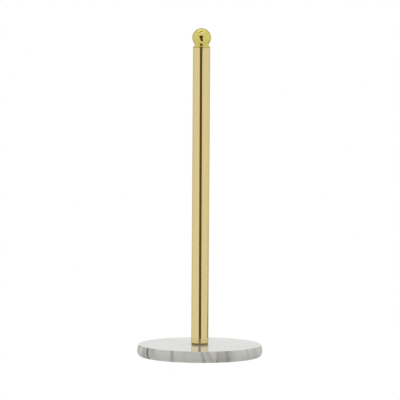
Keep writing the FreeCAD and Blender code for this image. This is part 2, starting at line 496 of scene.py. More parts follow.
def joined(name: str, parts: list[Object], finish: Material) -> Object:
    """Puts several meshes into the first one's object.

    Args:
        name: name of the result.
        parts: the objects to join; all but the first are removed.
        finish: the material of the result.

    Returns:
        The object that now holds all of them.
    """
    work = bmesh.new()
    for part in parts:
        work.from_mesh(part.data)
    whole = parts[0]
    work.to_mesh(whole.data)
    work.free()
    for part in parts[1:]:
        bpy.data.objects.remove(part)
    whole.name = name
    whole.data.name = name
    coat(whole.data, finish)
    return whole


# ---------------------------------------------------------------- materials


@dataclass(frozen=True)
class Field:
    """A noise field."""

    cells: float  # in a metre
    detail: float = 2.0  # how many finer octaves are added
    roughness: float = 0.5  # how strong those are
    seed: float = 0.0  # a shift that makes it a different field


class Shader(NodeKit):
    """A material under construction, around one Principled shader."""

    def __init__(self, name: str) -> None:
        """Makes the material.

        Args:
            name: name of the material.
        """
        self.material = bpy.data.materials.new(name)
        self.material.use_nodes = True
        super().__init__(self.material.node_tree)
        self.surface = self.tree.nodes["Principled BSDF"]

    def set(self, **values: object) -> None:
        """Sets the Principled shader's inputs, by their names with underscores for spaces."""
        for key, value in values.items():
            self.plug(self.surface.inputs[key.replace("_", " ")], value)

    def point(self) -> Socket:
        """Returns the point being shaded, in the piece's own metres."""
        return self.node("ShaderNodeTexCoord").outputs["Object"]

    def vector(self, operation: str, *values: object) -> Socket:
        """Returns the result of a sum on vectors."""
        return self.node("ShaderNodeVectorMath", dict(enumerate(values)), operation=operation).outputs[0]

    def noise(self, point: Socket, grain: Field) -> Socket:
        """Adds a noise field.

        Args:
            point: where it is read.
            grain: the field.

        Returns:
            Its strength at the point.
        """
        inputs = {"Vector": point, "W": grain.seed, "Scale": grain.cells, "Detail": grain.detail}
        inputs["Roughness"] = grain.roughness
        return self.node("ShaderNodeTexNoise", inputs, noise_dimensions="4D").outputs[0]

    def mix(self, factor: object, first: object, second: object) -> Socket:
        """Mixes two colours by a factor and returns the result."""
        inputs = {"Factor": factor, "A": first, "B": second}
        return self.node("ShaderNodeMix", inputs, data_type="RGBA").outputs["Result"]

    def bump(self, height: Socket, distance: float) -> None:
        """Raises the surface's shading by a height field, whose 1 stands for this many metres."""
        made = self.node("ShaderNodeBump", {"Height": height, "Distance": distance})
        self.plug(self.surface.inputs["Normal"], made.outputs[0])


def scaled(colour: Colour, share: float) -> Colour:
    """Returns a colour made darker or lighter by a factor."""
    return tuple(min(1.0, value * share) for value in colour[:3]) + (1.0,)


@dataclass(frozen=True)
class Vein:
    """A grey sheet that runs up through the stone and shows where it meets the rim."""

    azimuth: float  # degrees round the rim from the front, positive towards +X
    width: float  # millimetres along the rim
    strength: float  # 0 to 1
    lean: float = 0.0  # millimetres that it shifts towards +azimuth from the rim's top to its bottom
    warm: float = 0.0  # 0 for a cool grey, 1 for a brownish one
    fade: float = 0.0  # share of its strength that it gains from the rim's middle to its bottom


@dataclass(frozen=True)
class MarbleFinish:
    """Polished white marble with soft clouds, a faint network of veins, and stronger ones round the rim."""

    stone: Colour = (0.80, 0.80, 0.745, 1.0)
    cloud: Colour = (0.73, 0.735, 0.685, 1.0)
    vein: Colour = (0.20, 0.20, 0.175, 1.0)
    warm_vein: Colour = (0.27, 0.24, 0.20, 1.0)
    honed: float = 0.38  # roughness of the rim and underside
    polished: float = 0.07  # roughness of the top
    sealed: float = 0.55  # weight of the sealer's coat on the top
    polish_height: Span = (0.0136, 0.0138)  # metres; the rim's finish turns into the top's over these heights
    rim_radius: float = 69.0  # millimetres
    rim_middle: float = 7.5  # millimetres above the counter
    rim_height: float = 12.4  # millimetres

    warp: Field = Field(28.0, 3.0, 0.55, 3.0)  # bends the clouds and the network
    warp_reach: float = 0.016  # metres
    clouds: Field = Field(17.0, 4.0, 0.55, 7.0)
    cloud_span: Span = (0.40, 0.66)
    net_cells: float = 24.0  # in a metre
    net_line: float = 0.075  # half a line's width, in cells
    net_strength: float = 0.16
    patches: Field = Field(20.0, 2.0, 0.5, 11.0)  # choose where the network shows
    patch_span: Span = (0.42, 0.62)

    arris: Span = (0.0645, 0.0676)  # metres from the axis over which the rim's veins come in
    flat: Span = (0.02, 0.066)  # metres from the axis over which they go on faintly across the flats
    flat_strength: float = 0.13
    bend: Field = Field(30.0, 2.0, 0.5, 17.0)  # turns the veins aside on the flats
    bend_turn: float = 6.0  # radians for the field's whole range
    wander: Field = Field(160.0, 2.0, 0.5, 5.0)  # makes a vein's sides uneven
    wander_reach: float = 1.2  # millimetres to either side
    breaks: Field = Field(260.0, 2.0, 0.5, 9.0)  # thins the veins in spots
    break_span: Span = (0.25, 0.5)
    break_strength: Span = (0.55, 1.0)
    core: float = 0.12  # share of its width over which a vein has its full strength, to either side
    margin: float = 0.82  # share of its width at which it has faded out

    mottle: Field = Field(420.0, 3.0, 0.6, 13.0)
    mottle_span: Span = (0.35, 0.7)
    mottle_strength: float = 0.10
    grain: Field = Field(900.0)
    grain_height: float = 0.000004  # metres
    stone_ior: float = 1.55
    sealer_ior: float = 1.5
    sealer_roughness: float = 0.03
    veins: tuple[Vein, ...] = (
        Vein(-77.5, 4.5, 0.60, -2.0, 0.0, -0.8),
        Vein(-62.5, 10.0, 0.44, 1.0, 0.3, 0.15),
        Vein(-55.7, 5.0, 1.0, 1.4),
        Vein(-48.5, 11.0, 0.26, 2.0, 0.0, -0.7),
        Vein(-25.6, 4.4, 0.50, 0.8, 0.6),
        Vein(3.0, 3.6, 0.42, 3.9, 0.2, 0.35),
        Vein(9.4, 4.4, 0.27, 6.0, 0.2),
        Vein(16.4, 4.2, 0.37, 0.4, 0.5, 0.5),
        Vein(23.6, 18.5, 0.42, -1.0, 0.8, 0.1),
        Vein(26.0, 4.0, 0.38, 1.5, 0.6),
        Vein(49.6, 4.4, 0.22, 3.8, 0.1),
        Vein(62.4, 7.5, 0.17, 5.5, 0.2),
        Vein(76.5, 5.0, 0.18, -1.0, 0.2),
        Vein(98.0, 3.4, 0.46, 5.5, 0.1, -0.5),
        Vein(108.0, 13.0, 0.22, -2.0, 0.5),
        Vein(137.0, 2.4, 0.26, -3.5, 0.5, 0.6),
        Vein(150.0, 4.6, 0.70, 2.5),
        Vein(157.0, 9.0, 0.24, 4.0, 0.7),
        Vein(187.0, 3.0, 0.30, 6.5, 0.5, -0.4),
        Vein(209.0, 5.4, 0.52, -3.0, 0.3, 0.4),
        Vein(219.0, 17.0, 0.25, 1.5, 0.4),
        Vein(229.0, 2.6, 0.34, 5.5, 0.2),
        Vein(262.0, 2.8, 0.40, -4.5, 0.0, 0.5),
    )

    def build(self) -> Material:
        """Builds the material.

        Returns:
            The finished material.
        """
        shader = Shader("polished_marble")
        point = shader.point()
        colour = self.add_veins(shader, point, self.ground(shader, point))
        strength = (0.0, self.mottle_strength)
        mottle = shader.between(shader.noise(point, self.mottle), self.mottle_span, strength)
        colour = shader.mix(mottle, colour, self.vein)
        top = shader.between(shader.split(point)[2], self.polish_height)
        shader.set(Base_Color=colour, IOR=self.stone_ior)
        shader.set(Coat_Roughness=self.sealer_roughness, Coat_IOR=self.sealer_ior)
        shader.set(Roughness=shader.between(top, (0.0, 1.0), (self.honed, self.polished)))
        shader.set(Coat_Weight=shader.math("MULTIPLY", top, self.sealed))
        shader.bump(shader.noise(point, self.grain), self.grain_height)
        return shader.material

    def ground(self, shader: Shader, point: Socket) -> Socket:
        """Colours the stone with its clouds and its faint network.

        Args:
            shader: the material under construction.
            point: the point being shaded.

        Returns:
            The colour.
        """
        warp = shader.noise(point, self.warp).node.outputs["Color"]
        shifted = shader.vector("ADD", point, shader.vector("MULTIPLY", warp, (self.warp_reach,) * 3))
        clouds = shader.between(shader.noise(shifted, self.clouds), self.cloud_span)
        colour = shader.mix(clouds, self.stone, self.cloud)
        inputs = {"Vector": shifted, "Scale": self.net_cells}
        net = shader.node("ShaderNodeTexVoronoi", inputs, feature="DISTANCE_TO_EDGE").outputs["Distance"]
        lines = shader.between(net, (0.0, self.net_line), (1.0, 0.0))
        patches = shader.between(shader.noise(point, self.patches), self.patch_span)
        faint = shader.math("MULTIPLY", shader.math("MULTIPLY", lines, patches), self.net_strength)
        return shader.mix(faint, colour, self.vein)

    def add_veins(self, shader: Shader, point: Socket, colour: Socket) -> Socket:
        """Adds the veins that show at the rim and go on faintly across the flats.

        Args:
            shader: the material under construction.
            point: the point being shaded.
            colour: the stone's colour so far.

        Returns:
            The colour with the veins in it.
        """
        x, y, z = shader.split(point)
        angle = shader.math("ARCTAN2", x, shader.math("MULTIPLY", y, -1.0))
        squares = [shader.math("MULTIPLY", side, side) for side in (x, y)]
        radius = shader.math("SQRT", shader.math("ADD", *squares))
        on_flat = shader.between(radius, self.flat, (0.0, self.flat_strength))
        near_rim = shader.math("MAXIMUM", shader.between(radius, self.arris), on_flat)
        inward = shader.between(radius, self.flat[::-1])
        swing = shader.math("SUBTRACT", shader.noise(point, self.bend), NOISE_MIDDLE)
        turn = shader.math("MULTIPLY", shader.math("MULTIPLY", swing, inward), self.bend_turn)
        angle = shader.math("ADD", angle, turn)
        below = shader.math("SUBTRACT", self.rim_middle * MM, z)
        drop = shader.math("DIVIDE", below, self.rim_height * MM)
        swing = shader.noise(point, self.wander)
        wander = shader.math("MULTIPLY_ADD", swing, 2 * self.wander_reach, -self.wander_reach)
        broken = shader.between(shader.noise(point, self.breaks), self.break_span, self.break_strength)
        mask = shader.math("MULTIPLY", near_rim, broken)
        for vein in self.veins:
            amount = shader.math("MULTIPLY", self.vein_amount(shader, vein, angle, drop, wander), mask)
            tint = tuple(a + (b - a) * vein.warm for a, b in zip(self.vein, self.warm_vein))
            colour = shader.mix(amount, colour, tint)
        return colour

    def vein_amount(self, shader: Shader, vein: Vein, angle: Socket, drop: Socket, wander: Socket) -> Socket:
        """Works out how strongly one vein darkens the stone.

        Args:
            shader: the material under construction.
            vein: the vein.
            angle: the azimuth of the point, in radians.
            drop: how far the point is below the rim's middle, as a share of the rim's height.
            wander: a small noise, in millimetres along the rim.

        Returns:
            Its strength at the point.
        """
        along = shader.math("SUBTRACT", angle, math.remainder(math.radians(vein.azimuth), math.tau))
        along = shader.math("MULTIPLY", along, self.rim_radius)
        along = shader.math("SUBTRACT", along, shader.math("MULTIPLY", drop, vein.lean))
        along = shader.math("ABSOLUTE", shader.math("ADD", along, wander))
        span = (vein.width * self.core, vein.width * self.margin)
        amount = shader.between(along, span, (vein.strength, 0.0))
        if vein.fade:
            gain = shader.math("MULTIPLY_ADD", drop, 2 * vein.fade, 1.0)
            amount = shader.math("MULTIPLY", amount, shader.math("MAXIMUM", gain, 0.0), clamp=True)
        return amount


@dataclass(frozen=True)
class MetalFinish:
    """A bright metal surface, with a fine grain and slight waves from polishing."""

    name: str
    colour: Colour
    roughness: float
    metallic: float = 1.0
    edge: Colour = (1.0, 0.98, 0.92, 1.0)
    tone: float = 0.04  # share by which its darker patches are darker
    patches: Field = Field(108.0, 2.0, 0.5, 4.0)
    patch_span: Span = (0.35, 0.65)
    grain: Field = Field(900.0, 2.0, 0.6, 1.0)
    grain_stretch: Point = (1.0, 1.0, 1.0)
    grain_height: float = 0.0000012  # metres
    grain_spread: Span = (0.8, 1.25)  # shares of the roughness between which the grain moves it
    waves: Field = Field(60.0, 1.0, 0.5, 2.0)
    wave_height: float = 0.0  # metres

    def build(self) -> Material:
        """Builds the material.

        Returns:
            The finished material.
        """
        shader = Shader(self.name)
        point = shader.vector("MULTIPLY", shader.point(), self.grain_stretch)
        grain = shader.noise(point, self.grain)
        patches = shader.between(shader.noise(point, self.patches), self.patch_span)
        colour = shader.mix(patches, self.colour, scaled(self.colour, 1 - self.tone))
        shader.set(Base_Color=colour, Metallic=self.metallic, Specular_Tint=self.edge)
        rough = tuple(self.roughness * share for share in self.grain_spread)
        shader.set(Roughness=shader.between(grain, ROUGH_SPAN, rough))
        height = shader.math("MULTIPLY", grain, self.grain_height / MM)
        if self.wave_height:
            waves = shader.math("MULTIPLY", shader.noise(shader.point(), self.waves), self.wave_height / MM)
            height = shader.math("ADD", height, waves)
        shader.bump(height, MM)
        return shader.material


@dataclass(frozen=True)
class RubberFinish:
    """Moulded rubber or plastic, matt or with a slight sheen."""

    name: str
    colour: Colour
    roughness: float
    speckle: float = 0.15  # share by which its lighter grains are lighter
    speckle_span: Span = (0.4, 0.7)
    grain: Field = Field(1500.0, 3.0, 0.6)
    grain_height: float = 0.00002  # metres
    grain_spread: Span = (0.9, 1.1)  # shares of the roughness between which the grain moves it

    def build(self) -> Material:
        """Builds the material.

        Returns:
            The finished material.
        """
        shader = Shader(self.name)
        grain = shader.noise(shader.point(), self.grain)
        speckles = shader.between(grain, self.speckle_span)
        shader.set(Base_Color=shader.mix(speckles, self.colour, scaled(self.colour, 1 + self.speckle)))
        rough = tuple(self.roughness * share for share in self.grain_spread)
        shader.set(Roughness=shader.between(grain, ROUGH_SPAN, rough))
        shader.bump(grain, self.grain_height)
        return shader.material


POST_PLATE = MetalFinish(
    "champagne_plate", (0.905, 0.735, 0.355, 1.0), 0.085, metallic=0.955, edge=(0.90, 0.87, 0.78, 1.0),
    patches=Field(168.0, 2.0, 0.5, 4.0), grain=Field(1400.0, 2.0, 0.6, 1.0), grain_stretch=(1.0, 1.0, 0.02),
)
FINIAL_BRASS = MetalFinish(
    "turned_brass", (0.825, 0.725, 0.215, 1.0), 0.05, edge=(0.84, 0.79, 0.58, 1.0),
    patches=Field(60.0, 2.0, 0.5, 4.0), grain=Field(500.0, 2.0, 0.6, 1.0),
    waves=Field(260.0, 1.0, 0.5, 2.0), wave_height=0.00008,
)
ZINC = MetalFinish("bright_zinc", (0.66, 0.68, 0.70, 1.0), 0.28, tone=0.12, grain_height=0.000004)
PLUG_STEEL = MetalFinish("turned_steel", (0.55, 0.54, 0.53, 1.0), 0.33, tone=0.10, grain_height=0.000004)
# painted shade: the gasket's olive-gold colour is matched to the dark shadow seam where the tube meets the
# marble
GASKET_SEAM_SHADE = RubberFinish("gasket_rubber", (0.34, 0.25, 0.07, 1.0), 0.75)
NYLON = RubberFinish("clear_nylon", (0.34, 0.26, 0.09, 1.0), 0.40, 0.05, grain_height=0.000005)
BUMPER = RubberFinish("bumper_rubber", (0.045, 0.045, 0.047, 1.0), 0.60)


# ---------------------------------------------------------------- sub-assemblies


def in_mm(node: str) -> Point:
    """Reads a CAD node's outer radius, lowest height and highest height, in millimetres."""
    low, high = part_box(node)
    return (high[0] - low[0]) / 2 / MM, low[2] / MM, high[2] / MM


def settle(piece: Object, body: str, node: str) -> None:
    """Puts a finished piece on its body, hides the CAD node that it stands for, and reports it.

    Args:
        piece: the finished piece.
        body: name of the CAD body that it moves with.
        node: name of the CAD node that it replaces.
    """
    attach(piece, body)
    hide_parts(node)
    log.info("%s: %d faces, rides on %s", piece.name, len(piece.data.polygons), body)


@dataclass
class Base:
    """The marble disc and the four bumper feet under it, in millimetres."""

    body: str = "stand"
    rim_top_radius: float = 67.5
    rim_under_radius: float = 66.5
    rim_widest_height: float = 5.4
    arris: float = 0.6
    hole_radius: float = 6.2
    recess_radius: float = 12.0
    recess_depth: float = 7.0
    mouth_chamfer: float = 0.5
    support: float = 0.3
    face_support: float = 0.4
    bulge_step: float = 4.0  # degrees
    arris_step: float = 12.0  # degrees
    foot_edge: float = 0.35
    foot_dish: float = 0.25
    foot_dish_share: float = 0.45  # radius of the dish's mouth against the foot's
    foot_floor_share: float = 0.8  # radius of its floor against its mouth's
    foot_support: float = 0.1
    feet: tuple[str, ...] = ("foot_1", "foot_2", "foot_3", "foot_4")

    def build_marble(self, finish: Material) -> Object:
        """Builds the disc: a rounded rim, a hole for the post and a recess underneath.

        Args:
            finish: the marble.

        Returns:
            The disc.
        """
        radius, low, high = in_mm("marble_base")
        widest = low + self.rim_widest_height
        ceiling = low + self.recess_depth
        profile = Profile(self.hole_radius, ceiling)
        profile.to(self.recess_radius, ceiling, support=self.support)
        profile.to(self.recess_radius, low + self.mouth_chamfer, support=self.support)
        profile.to(self.recess_radius + self.mouth_chamfer, low)
        self.rim(profile, radius, self.rim_under_radius, widest, low)
        self.rim(profile, radius, self.rim_top_radius, widest, high)
        profile.to(self.hole_radius, high, support=self.face_support)
        profile.to(self.hole_radius, ceiling, support=self.support)
        return turned("marble_base_stone", profile, finish, Facets.DISC)

    def rim(self, profile: Profile, radius: float, edge_radius: float, widest: float, edge: float) -> None:
        """Adds half of the rim's bulge and the eased edge where it meets a flat.

        Args:
            profile: the outline to add to.
            radius: the rim's largest radius.
            edge_radius: where the bulge would meet the flat.
            widest: the height at which it is widest.
            edge: the height of the flat.
        """
        rise = edge - widest
        inset = radius - edge_radius
        round_radius = (rise * rise + inset * inset) / (2 * inset)
        centre = (radius - round_radius, widest)
        side = math.copysign(1, rise)
        inner = round_radius - self.arris
        meet_height = edge - side * self.arris
        slope = math.asin((meet_height - widest) / inner)
        turn = math.degrees(slope)
        arris_centre = (centre[0] + inner * math.cos(slope), meet_height)
        if side < 0:
            profile.to(arris_centre[0], edge, support=self.face_support)
            profile.arc(arris_centre, self.arris, DOWN, turn, self.arris_step)
            profile.arc(centre, round_radius, turn, OUT, self.bulge_step)
        else:
            profile.arc(centre, round_radius, OUT, turn, self.bulge_step)
            profile.arc(arris_centre, self.arris, turn, UP, self.arris_step)

    def build_foot(self, node: str, finish: Material) -> Object:
        """Builds one foot: a low pad with a rounded edge and a shallow dish in its sole.

        Args:
            node: the CAD foot that it stands for.
            finish: the rubber.

        Returns:
            The foot.
        """
        radius, low, high = in_mm(node)
        mouth = radius * self.foot_dish_share
        profile = Profile(0.0, low + self.foot_dish)
        profile.to(mouth * self.foot_floor_share, low + self.foot_dish, support=self.foot_support)
        profile.to(mouth, low)
        profile.to(radius - self.foot_edge, low, support=self.foot_support)
        profile.lower_edge(radius, low, self.foot_edge, EDGE_STEP)
        profile.to(radius, high, support=self.foot_support)
        profile.to(0.0, high, support=self.foot_support)
        foot = turned(node + "_pad", profile, finish, Facets.FOOT)
        near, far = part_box(node)
        foot.data.transform(Matrix.Translation(((near[0] + far[0]) / 2, (near[1] + far[1]) / 2, 0.0)))
        return foot

    def dress(self, marble: Material, rubber: Material) -> None:
        """Builds every piece of the base and puts it on its body.

        Args:
            marble: finish of the disc.
            rubber: finish of the feet.
        """
        settle(self.build_marble(marble), self.body, "marble_base")
        for node in self.feet:
            settle(self.build_foot(node, rubber), self.body, node)


@dataclass
class Post:
    """The tube, the gasket that it stands on and the tapped plugs in its two ends, in millimetres."""

    body: str = "stand"
    wall: float = 1.0
    edge_break: float = 0.15
    gasket_hole: float = 6.1
    gasket_edge: float = 0.25
    spigot_radius: float = 5.9
    tapped_radius: float = 3.05
    plug_edge: float = 0.4
    support: float = 0.3

    def build_tube(self, finish: Material) -> Object:
        """Builds the tube with the sharp edge taken off each end.

        Args:
            finish: the plating.

        Returns:
            The tube.
        """
        radius, low, high = in_mm("post_tube")
        inner = radius - self.wall
        profile = Profile(inner, low).to(radius - self.edge_break, low)
        profile.lower_edge(radius, low, self.edge_break, EDGE_STEP)
        profile.to(radius, high - self.edge_break, support=self.support)
        profile.upper_edge(radius, high, self.edge_break, EDGE_STEP)
        profile.to(inner, high).to(inner, low, support=self.support)
        return turned("post_tube_plated", profile, finish, Facets.TUBE)

    def build_gasket(self, finish: Material) -> Object:
        """Builds the ring under the tube, with rounded outer edges; with its olive-gold finish it paints the
        dark shadow seam between tube and marble.

        Args:
            finish: the rubber.

        Returns:
            The gasket.
        """
        radius, low, high = in_mm("post_gasket")
        profile = Profile(self.gasket_hole, low).to(radius - self.gasket_edge, low)
        profile.lower_edge(radius, low, self.gasket_edge, RING_STEP)
        profile.upper_edge(radius, high, self.gasket_edge, RING_STEP)
        profile.to(self.gasket_hole, high).to(self.gasket_hole, low)
        return turned("post_gasket_ring", profile, finish, Facets.RING)

    def build_foot_plug(self, finish: Material) -> Object:
        """Builds the plug in the tube's foot, with its spigot.

        Args:
            finish: the steel.

        Returns:
            The plug.
        """
        radius, low, high = in_mm("foot_plug")
        shoulder = in_mm("post_tube")[1]
        mouth = self.tapped_radius + self.plug_edge
        profile = Profile(mouth, low)
        profile.to(self.spigot_radius - self.plug_edge, low).to(self.spigot_radius, low + self.plug_edge)
        profile.to(self.spigot_radius, shoulder).to(radius, shoulder)
        profile.to(radius, high - self.plug_edge, support=self.support).to(radius - self.plug_edge, high)
        profile.to(self.tapped_radius, high)
        profile.to(self.tapped_radius, low + self.plug_edge, support=self.support).to(mouth, low)
        return turned("foot_plug_turned", profile, finish, Facets.FITTING)

    def build_cap_plug(self, finish: Material) -> Object:
        """Builds the plug in the tube's top, countersunk for the finial's stud.

        Args:
            finish: the steel.

        Returns:
            The plug.
        """
        radius, low, high = in_mm("cap_plug")
        profile = Profile(self.tapped_radius, low)
        profile.to(radius - self.plug_edge, low).to(radius, low + self.plug_edge)
        profile.to(radius, high, support=self.support).to(self.tapped_radius + self.plug_edge, high)
        profile.to(self.tapped_radius, high - self.plug_edge)
        profile.to(self.tapped_radius, low, support=self.support)
        return turned("cap_plug_turned", profile, finish, Facets.FITTING)

    def dress(self, plate: Material, steel: Material, rubber: Material) -> None:
        """Builds every piece of the post and puts it on its body.

        Args:
            plate: finish of the tube.
            steel: finish of the plugs.
            rubber: finish of the gasket, whose colour is painted shade of the seam under the tube.
        """
        settle(self.build_tube(plate), self.body, "post_tube")
        settle(self.build_gasket(rubber), self.body, "post_gasket")
        settle(self.build_foot_plug(steel), self.body, "foot_plug")
        settle(self.build_cap_plug(steel), self.body, "cap_plug")


@dataclass(frozen=True)
class Thread:
    """An M6 thread, in millimetres."""

    radius: float = 3.0
    depth: float = 0.6
    pitch: float = 1.0
    lead: float = 0.5

    def rod(self, name: str, low: float, high: float, finish: Material, **sizes: float) -> Object:
        """Builds a threaded rod on the Z axis, chamfered at its upper end.

        Args:
            name: name of the rod.
            low: height of its lower end.
            high: height of its upper end.
            finish: its material.
            sizes: more of the tree's inputs.

        Returns:
            The rod.
        """
        sizes.update(low=low, high=high, pitch=self.pitch, lead_high=self.lead)
        sizes.update(crest_radius=self.radius, thread_depth=self.depth)
        metres = {key: value * MM for key, value in sizes.items()}
        return grown(name, Profile(0.0, 0.0).mesh(name + "_seed"), Maker.THREADED, finish, **metres)


def hump(share: float) -> float:
    """Returns a parabola's height, 0 at both ends of a run and 1 half-way along."""
    return 4 * share * (1 - share)


@dataclass
class Fixings:
    """The bolt that comes up through the marble, and its two washers, in millimetres."""

    body: str = "stand"
    head_height: float = 3.3
    head_crown: float = 2.6
    socket_flats: float = 4.0
    socket_depth: float = 2.0
    head_rim: float = 0.4
    head_bulge: float = 0.5
    head_rings: int = 8
    socket_edge: float = 0.3
    shank_sink: float = 0.06  # how far the shank starts inside the head
    thread: Thread = Thread()
    washer_hole: float = 3.2
    washer_edge: float = 0.2
    washer_support: float = 0.1
    lock_hole: float = 3.1
    lock_split: float = 0.9
    lock_slant: float = 18.0  # degrees
    lock_steps: int = 96

    def build_bolt(self, finish: Material) -> Object:
        """Builds the button-head bolt: a domed head with a key socket, and a threaded shank.

        Args:
            finish: the zinc.

        Returns:
            The bolt.
        """
        radius, low, high = in_mm("base_bolt")
        seat = low + self.head_height
        flats = self.socket_flats / 2
        profile = Profile(0.0, low + self.socket_depth, 1.0)
        profile.to(flats, low + self.socket_depth, 1.0).to(flats, low + self.socket_edge / 2, 1.0)
        profile.to(flats + self.socket_edge, low).to(self.head_crown, low)
        across = radius - self.head_crown
        rise = seat - self.head_rim - low
        for k in range(1, self.head_rings + 1):
            share = k / self.head_rings
            bulge = hump(share) * self.head_bulge / math.hypot(across, rise)
            profile.to(self.head_crown + share * across + bulge * rise, low + share * rise - bulge * across)
        profile.to(radius, seat).to(0.0, seat)
        head = turned("base_bolt_head", profile, finish, Facets.FITTING)
        shank = self.thread.rod("base_bolt_shank", seat - self.shank_sink, high, finish)
        return joined("base_bolt_zinc", [head, shank], finish)

    def build_flat_washer(self, finish: Material) -> Object:
        """Builds the wide washer, with the rounding that stamping leaves.

        Args:
            finish: the zinc.

        Returns:
            The washer.
        """
        radius, low, high = in_mm("flat_washer")
        profile = Profile(self.washer_hole, low)
        profile.to(radius - self.washer_edge, low, support=self.washer_support)
        profile.lower_edge(radius, low, self.washer_edge, RING_STEP).to(radius, high)
        profile.to(self.washer_hole, high, support=self.washer_support).to(self.washer_hole, low)
        return turned("flat_washer_zinc", profile, finish, Facets.RING)

    def build_lock_washer(self, finish: Material) -> Object:
        """Builds the split washer: a square bar bent round, with slanted ends.

        Args:
            finish: the zinc.

        Returns:
            The washer.
        """
        radius, low, high = in_mm("lock_washer")
        slant = math.tan(math.radians(self.lock_slant))
        middle = (low + high) / 2
        corners = ((self.lock_hole, low), (radius, low), (radius, high), (self.lock_hole, high))
        work = bmesh.new()
        rings = []
        for k in range(self.lock_steps + 1):
            ring = []
            for r, z in corners:
                half_gap = self.lock_split / 2 / r
                turn = (math.tau - 2 * half_gap) * k / self.lock_steps
                angle = half_gap + turn - (z - middle) * slant / r
                ring.append(work.verts.new((r * math.cos(angle) * MM, r * math.sin(angle) * MM, z * MM)))
            rings.append(ring)
        for a, b in zip(rings, rings[1:]):
            for k in range(len(corners)):
                work.faces.new((a[k - 1], a[k], b[k], b[k - 1]))
        work.faces.new(rings[0])
        work.faces.new(reversed(rings[-1]))
        mesh = bpy.data.meshes.new("lock_washer_zinc")
        work.to_mesh(mesh)
        work.free()
        tidy_mesh(mesh, finish)
        return placed("lock_washer_zinc", mesh)

    def dress(self, zinc: Material) -> None:
        """Builds every fixing and puts it on its body.

        Args:
            zinc: finish of all of them.
        """
        settle(self.build_bolt(zinc), self.body, "base_bolt")
        settle(self.build_flat_washer(zinc), self.body, "flat_washer")
        settle(self.build_lock_washer(zinc), self.body, "lock_washer")


@dataclass
class Finial:
    """The ball that screws off, its stud, and the thin washer that stays in its groove, in millimetres."""

    body: str = "finial"
    washer_body: str = "finial_carrier"
    spigot_radius: float = 8.2
    spigot_length: float = 4.0
    spigot_edge: float = 0.3
    groove_radius: float = 7.9
    groove_width: float = 0.5
    flange_radius: float = 9.5
    flange_height: float = 1.5
    bead: float = 0.8
    bead_step: float = 9.0  # degrees
    neck_radius: float = 7.9
    cove: float = 0.5
    cove_step: float = 12.0  # degrees
    ball_radius: float = 10.4
    ball_step: float = 3.0  # degrees
    bore_radius: float = 3.05
    bore_depth: float = 15.2
    bore_tip: float = 1.8
    support: float = 0.2
    flange_support: float = 0.1
    washer_hole: float = 8.0
    stud_socket_flats: float = 3.0
    stud_socket_depth: float = 3.0
    thread: Thread = Thread()

    def build_ball(self, finish: Material) -> Object:
        """Builds the ball, neck, flange and spigot as one turned piece.

        Args:
            finish: the brass.

        Returns:
            The finial.
        """
        _, low, high = in_mm("ball_finial")
        flange = low + self.spigot_length
        groove = flange - self.groove_width
        top = flange + self.flange_height
        profile = Profile(0.0, low + self.bore_depth + self.bore_tip)
        profile.to(self.bore_radius, low + self.bore_depth)
        profile.to(self.bore_radius, low, support=self.support)
        profile.to(self.spigot_radius - self.spigot_edge, low, support=self.support)
        profile.to(self.spigot_radius, low + self.spigot_edge)
        profile.to(self.spigot_radius, groove, support=self.support)
        profile.to(self.groove_radius, groove).to(self.groove_radius, flange)
        profile.to(self.flange_radius, flange, support=self.flange_support)
        profile.upper_edge(self.flange_radius, top, self.bead, self.bead_step)
        cove_centre = (self.neck_radius + self.cove, top + self.cove)
        profile.arc(cove_centre, self.cove, DOWN, -IN, self.cove_step)
        meeting = -math.degrees(math.acos(self.neck_radius / self.ball_radius))
        profile.arc((0.0, high - self.ball_radius), self.ball_radius, meeting, UP, self.ball_step)
        return turned("ball_finial_brass", profile, finish, Facets.BALL)

    def build_stud(self, finish: Material) -> Object:
        """Builds the stud, chamfered at both ends, with a key socket in its lower one.

        Args:
            finish: the zinc.

        Returns:
            The stud.
        """
        _, low, high = in_mm("finial_stud")
        return self.thread.rod(
            "finial_stud_zinc", low, high, finish, lead_low=self.thread.lead,
            socket_radius=self.stud_socket_flats / 2, socket_depth=self.stud_socket_depth,
        )

    def build_washer(self, finish: Material) -> Object:
        """Builds the thin washer under the flange.

        Args:
            finish: the nylon.

        Returns:
            The washer.
        """
        radius, low, high = in_mm("captive_washer")
        profile = Profile(self.washer_hole, low).to(radius, low).to(radius, high)
        profile.to(self.washer_hole, high).to(self.washer_hole, low)
        return turned("captive_washer_nylon", profile, finish, Facets.RING)

    def dress(self, brass: Material, zinc: Material, nylon: Material) -> None:
        """Builds every piece of the finial and puts it on its body.

        Args:
            brass: finish of the ball.
            zinc: finish of the stud.
            nylon: finish of the washer.
        """
        settle(self.build_ball(brass), self.body, "ball_finial")
        settle(self.build_stud(zinc), self.body, "finial_stud")
        settle(self.build_washer(nylon), self.washer_body, "captive_washer")


# ---------------------------------------------------------------- studio


class Glow(NodeKit):
    """A material under construction that shows one flat colour."""

    def __init__(self, name: str, colour: Colour) -> None:
        """Makes the material.

        Args:
            name: name of the material.
            colour: the colour, against 1 for white.
        """
        self.material = bpy.data.materials.new(name)
        self.material.use_nodes = True
        super().__init__(self.material.node_tree)
        self.tree.nodes.clear()
        self.lamp = self.node("ShaderNodeEmission", {"Color": colour})
        self.out = self.node("ShaderNodeOutputMaterial", {"Surface": self.lamp.outputs[0]})


def panel(name: str, corners: list[Point], finish: Material) -> Object:
    """Builds a flat panel that throws no shadow.

    Args:
        name: name of the panel.
        corners: its corners in order, in metres.
        finish: its material.

    Returns:
        The panel.
    """
    mesh = bpy.data.meshes.new(name)
    mesh.from_pydata(corners, [], [range(len(corners))])
    mesh.materials.append(finish)
    made = placed(name, mesh)
    made.visible_shadow = False
    return made


@dataclass(frozen=True)
class Card:
    """A flat panel of the light tent that only reflections and soft light see."""

    name: str
    corners: tuple[Point, ...]  # metres
    glow: Colour  # how bright it looks, against 1 for white

    def build(self) -> None:
        """Builds the card and hides it from the camera."""
        card = panel(self.name, list(self.corners), Glow(self.name, self.glow).material)
        card.visible_camera = False


